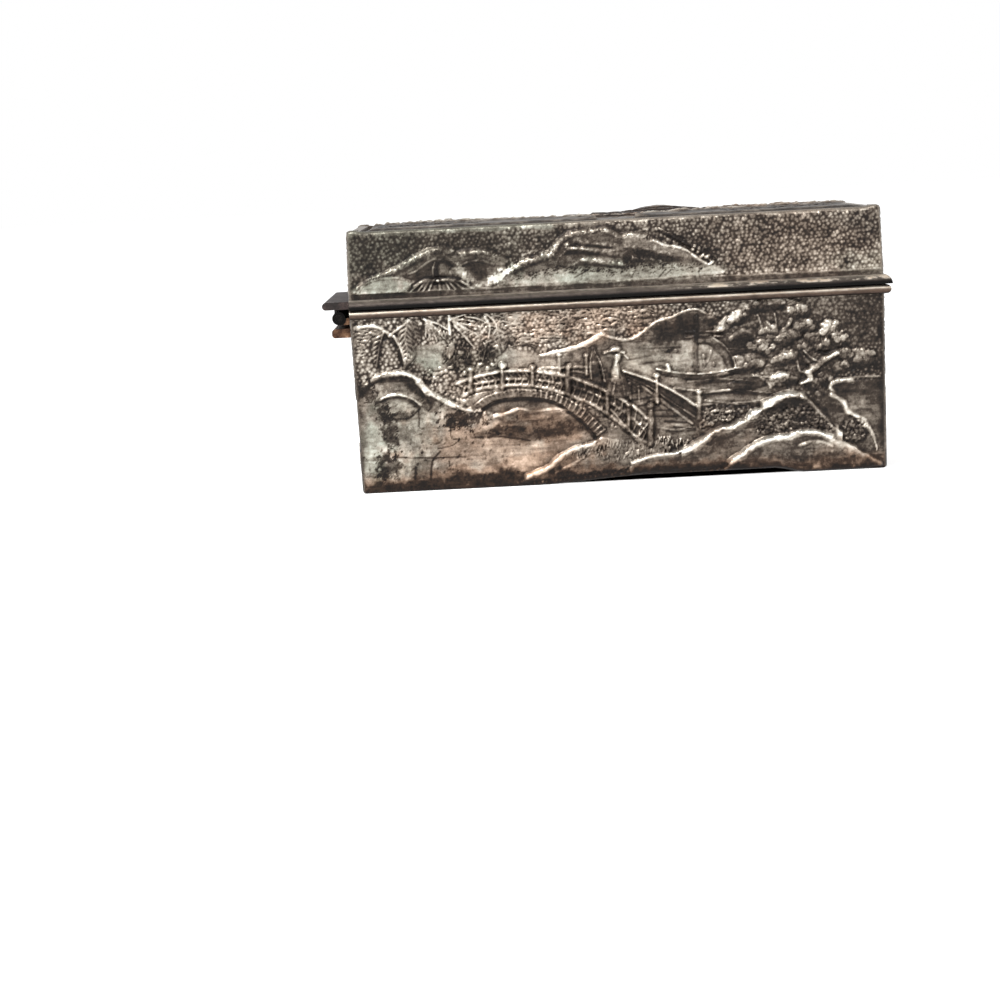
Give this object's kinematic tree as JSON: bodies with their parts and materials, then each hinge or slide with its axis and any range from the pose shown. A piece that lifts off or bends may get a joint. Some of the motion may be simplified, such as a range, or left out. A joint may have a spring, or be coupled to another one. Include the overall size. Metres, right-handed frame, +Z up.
{
  "type": "stamp box",
  "caption": "Small hinged metal box with low-relief landscape panels, a stop hinge on one short end and curved-floor compartments for stamps.",
  "frame": {"origin": "centre of the flat underside of the base", "axes": "+X along the long side towards the free end that opens, +Y from the front face with the bridge to the back, +Z up"},
  "size_m": [0.0753, 0.0464, 0.0358],
  "materials": {
    "cast_white_metal": "silvered cast white metal with a dark patina and bright worn crests",
    "moulding_strip": "drawn white-metal strip, worn bright on its edges",
    "worn_hinge_leaf": "plated leaf worn to copper brown",
    "bright_hinge_leaf": "plated leaf, satin",
    "hinge_pin": "dark steel wire",
    "floor_sheet": "dull grey sheet",
    "liner_sheet": "satin grey sheet"
  },
  "bodies": {
    "base": {"base_front_panel": "cast_white_metal", "base_back_panel": "cast_white_metal", "base_hinge_end_panel": "cast_white_metal", "base_free_end_panel": "cast_white_metal", "base_floor_plate": "floor_sheet", "base_rim_moulding": "moulding_strip", "hinge_base_leaf": "worn_hinge_leaf", "hinge_pin": "hinge_pin", "liner_band": "liner_sheet", "liner_divider_left": "liner_sheet", "liner_divider_right": "liner_sheet", "stamp_floor_left": "liner_sheet", "stamp_floor_middle": "liner_sheet", "stamp_floor_right": "liner_sheet"},
    "lid": {"lid_top_panel": "cast_white_metal", "lid_front_panel": "cast_white_metal", "lid_back_panel": "cast_white_metal", "lid_hinge_end_panel": "cast_white_metal", "lid_free_end_panel": "cast_white_metal", "lid_rim_moulding": "moulding_strip", "hinge_lid_leaf": "bright_hinge_leaf"}
  },
  "joints": [
    {"name": "lid_hinge", "type": "hinge", "parent": "base", "child": "lid", "pos_m": [-0.03685, 0, 0.02325], "axis": [0, -1, 0], "range_deg": [0, 92]}
  ]
}
